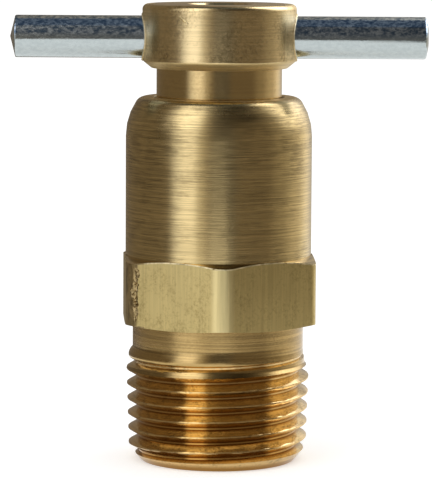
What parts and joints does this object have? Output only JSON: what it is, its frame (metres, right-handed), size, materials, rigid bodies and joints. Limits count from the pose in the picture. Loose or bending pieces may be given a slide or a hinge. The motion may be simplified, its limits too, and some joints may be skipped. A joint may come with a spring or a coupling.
{
  "type": "drain cock",
  "caption": "Brass drain cock with a steel tee bar through its screw-down stem, a hexagon, a plain barrel and a male taper pipe thread at its inlet end.",
  "frame": {"origin": "centre of the threaded end's face, on which the part stands", "axes": "+Z along the valve axis from the threaded inlet to the head; the tee bar lies along X when the valve is shut; a hexagon corner is near -Y, the front"},
  "size_m": [0.039, 0.0198, 0.0429],
  "materials": {
    "turned_brass_body": "turned and drawn, slightly dulled",
    "turned_brass_stem": "turned, slightly dulled",
    "seat_rubber": "moulded, matt",
    "zinc_plated_steel": "bright zinc plate"
  },
  "bodies": {
    "body": {"valve_body": "turned_brass_body"},
    "disc": {"seat_disc": "seat_rubber"},
    "handle": {"stem": "turned_brass_stem", "tee_bar": "zinc_plated_steel"}
  },
  "joints": [
    {"name": "stem_lift", "type": "slide", "parent": "body", "child": "disc", "axis": [0, 0, 1], "range_m": [0, 0.00247]},
    {"name": "stem_turn", "type": "hinge", "parent": "disc", "child": "handle", "pos_m": [0, 0, 0], "axis": [0, 0, 1], "range_deg": [0, 630]}
  ],
  "couplings": [
    {"joint": "stem_turn", "follows": "stem_lift", "rad_per_m": 4452.6}
  ]
}
